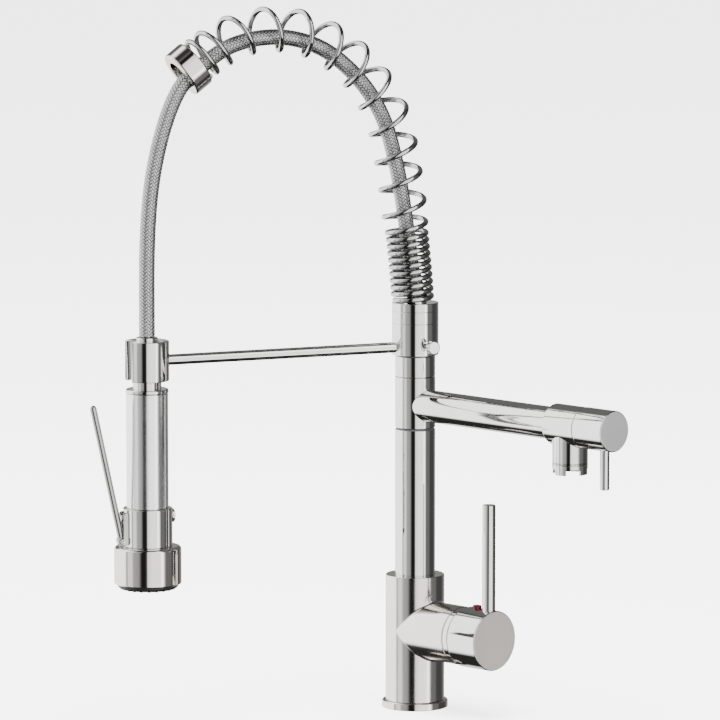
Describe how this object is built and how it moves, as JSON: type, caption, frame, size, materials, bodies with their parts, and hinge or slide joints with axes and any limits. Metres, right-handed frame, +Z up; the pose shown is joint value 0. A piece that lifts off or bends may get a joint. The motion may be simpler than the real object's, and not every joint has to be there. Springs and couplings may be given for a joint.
{
  "type": "spring pull-down kitchen faucet",
  "caption": "Deck-mounted single-lever kitchen mixer with a spring-carried hose, a trigger spray held in a clip on an arm, and a separate swivelling spout with its own shut-off knob.",
  "frame": {"origin": "centre of the deck face under the base flange, on the riser axis", "axes": "+Z up along the riser, +X along the mixer's side boss and, at rest, the side spout; the holder arm points 112.5 degrees clockwise from +X seen from above, which is close to -Y, the side that the user stands on"},
  "size_m": [0.309, 0.2647, 0.5913],
  "materials": {
    "chrome": "polished",
    "satin_grip": "satin",
    "steel": "brushed",
    "braid": "woven wire",
    "brass": "machined",
    "rubber": "matte",
    "plastic": "moulded",
    "aerator_plastic": "moulded",
    "ceramic": "lapped",
    "index_red": "gloss"
  },
  "bodies": {
    "base": {"deck_gasket": "rubber", "base_flange": "chrome", "base_body": "chrome", "mounting_shank": "brass", "shank_rubber_washer": "rubber", "shank_steel_washer": "steel", "mounting_nut": "brass", "mixer_cartridge": "plastic", "fixed_ceramic_disc": "ceramic", "cartridge_nut": "aerator_plastic", "bonnet_ring": "chrome", "riser_tube": "chrome", "riser_spindle": "brass", "spindle_seals": "rubber", "swivel_washers": "plastic", "middle_ring": "chrome", "spindle_nut": "aerator_plastic"},
    "mixer_turn": {"turning_ceramic_disc": "ceramic", "lever_carrier": "plastic", "lever_pin": "aerator_plastic"},
    "handle": {"mixer_stem": "aerator_plastic", "handle_cap": "chrome", "handle_lever": "chrome", "handle_index": "index_red", "handle_set_screw": "steel"},
    "side_spout": {"spout_collar": "chrome", "spout_tube": "chrome", "spout_valve_body": "chrome", "spout_outlet": "chrome", "aerator_housing": "chrome", "aerator_insert": "aerator_plastic", "spout_valve_cartridge": "brass"},
    "spout_tap": {"spout_valve_stem": "steel", "spout_knob": "chrome", "spout_knob_lever": "chrome"},
    "swivel_head": {"arm_block": "chrome", "locking_ring": "chrome", "spring_seat": "chrome", "lower_hose_ferrule": "aerator_plastic", "support_spring": "chrome", "hose_in_spring": "braid", "holder_arm": "chrome", "holder_clip": "chrome"},
    "clamp_screw": {"arm_clamp_screw": "chrome"},
    "spray_head": {"spring_end_collar": "chrome", "hose_to_spray": "braid", "upper_hose_ferrule": "chrome", "spray_shank": "chrome", "spray_flange_ring": "chrome", "spray_grip": "satin_grip", "spray_core_tube": "plastic", "spray_valve_block": "chrome", "spray_valve_cap": "chrome", "spray_bell": "chrome", "spray_diffuser": "plastic", "spray_nozzle_face": "rubber", "trigger_pin": "steel"},
    "trigger": {"spray_trigger": "chrome"},
    "plunger": {"valve_plunger": "steel"}
  },
  "joints": [
    {"name": "handle_mix", "type": "hinge", "parent": "base", "child": "mixer_turn", "pos_m": [0.039, 0, 0.0595], "axis": [1, 0, 0], "range_deg": [-45, 45]},
    {"name": "handle_flow", "type": "hinge", "parent": "mixer_turn", "child": "handle", "pos_m": [0.039, 0, 0.0595], "axis": [0, 1, 0], "range_deg": [0, 20]},
    {"name": "spout_swivel", "type": "hinge", "parent": "base", "child": "side_spout", "pos_m": [0, 0, 0.2285], "axis": [0, 0, 1], "range_deg": [-20, 160]},
    {"name": "spout_tap_turn", "type": "hinge", "parent": "side_spout", "child": "spout_tap", "pos_m": [0.188, 0, 0.2285], "axis": [1, 0, 0], "range_deg": [0, 90]},
    {"name": "head_swivel", "type": "hinge", "parent": "base", "child": "swivel_head", "pos_m": [0, 0, 0.272], "axis": [0, 0, 1], "range_deg": [-60, 75]},
    {"name": "clamp_screw_turn", "type": "hinge", "parent": "swivel_head", "child": "clamp_screw", "pos_m": [0.01913, -0.00585, 0.274], "axis": [0.9563, -0.2924, 0], "range_deg": [0, 180]},
    {"name": "spray_pull", "type": "slide", "parent": "swivel_head", "child": "spray_head", "axis": [0, 0, -1], "range_m": [0, 0.06], "deforming": ["support_spring", "hose_in_spring"]},
    {"name": "trigger_press", "type": "hinge", "parent": "spray_head", "child": "trigger", "pos_m": [-0.08955, -0.21619, 0.1395], "axis": [-0.9239, 0.3827, 0], "range_deg": [0, 9], "stiffness_Nm_per_rad": 0.4, "springref_deg": -17.19},
    {"name": "plunger_travel", "type": "slide", "parent": "spray_head", "child": "plunger", "axis": [0.3827, 0.9239, 0], "range_m": [0, 0.0028]}
  ],
  "couplings": [
    {"joint": "plunger_travel", "follows": "trigger_press", "m_per_rad": 0.017}
  ]
}
